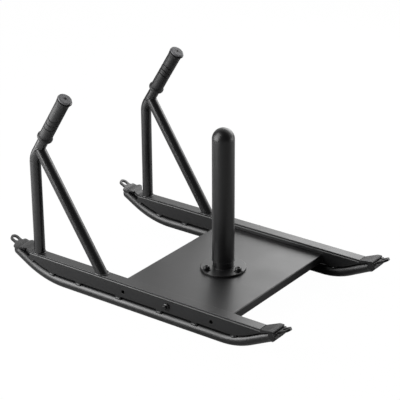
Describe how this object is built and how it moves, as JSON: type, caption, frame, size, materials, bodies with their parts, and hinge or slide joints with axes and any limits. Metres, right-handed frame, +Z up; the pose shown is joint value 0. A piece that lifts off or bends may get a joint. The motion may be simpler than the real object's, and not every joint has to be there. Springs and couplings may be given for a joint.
{
  "type": "weight sled",
  "caption": "Push and pull sled with two upswept tube runners, folded rails, a deck with a domed disc post, braced push handles and tow eyes.",
  "frame": {"origin": "on the ground, midway between the tips of the front and rear tow eyes and midway between the runners", "axes": "+X the way the sled is pushed, away from the push handles; +Y to the pusher's left; +Z up"},
  "size_m": [0.7628, 0.439, 0.4631],
  "materials": {
    "frame_coat": "satin black powder coat on steel",
    "sleeve_coat": "satin black powder coat on steel",
    "fastener": "black oxide steel, semi-gloss",
    "grip_rubber": "matte black rubber",
    "cap_plastic": "matte dark grey plastic",
    "plug_plastic": "black plastic"
  },
  "bodies": {
    "frame": {"right_runner": "frame_coat", "left_runner": "frame_coat", "right_rail_channel": "frame_coat", "left_rail_channel": "frame_coat", "right_top_strip": "frame_coat", "left_top_strip": "frame_coat", "right_spacers": "frame_coat", "left_spacers": "frame_coat", "right_rear_nose": "frame_coat", "left_rear_nose": "frame_coat", "right_front_nose": "frame_coat", "left_front_nose": "frame_coat", "right_rear_tow_plate": "frame_coat", "left_rear_tow_plate": "frame_coat", "right_front_tow_plate": "frame_coat", "left_front_tow_plate": "frame_coat", "right_handle_tube": "frame_coat", "left_handle_tube": "frame_coat", "right_brace": "frame_coat", "left_brace": "frame_coat", "right_grip": "grip_rubber", "left_grip": "grip_rubber", "right_grip_cap": "cap_plastic", "left_grip_cap": "cap_plastic", "right_cap_screw": "fastener", "left_cap_screw": "fastener", "right_handle_plug": "plug_plastic", "left_handle_plug": "plug_plastic", "right_through_bolt": "fastener", "left_through_bolt": "fastener", "right_through_nut": "fastener", "left_through_nut": "fastener", "right_side_screws": "fastener", "left_side_screws": "fastener", "right_side_nuts": "fastener", "left_side_nuts": "fastener", "deck": "frame_coat", "post_flange": "frame_coat", "post_core": "frame_coat", "post_collar": "frame_coat", "flange_bolts": "fastener", "flange_washers": "fastener", "flange_nuts": "fastener"},
    "sleeve": {"disc_sleeve": "sleeve_coat", "sleeve_cap": "sleeve_coat"}
  },
  "joints": [
    {"name": "sleeve_lift", "type": "slide", "parent": "frame", "child": "sleeve", "axis": [0, 0, 1], "range_m": [0, 0.28]}
  ]
}
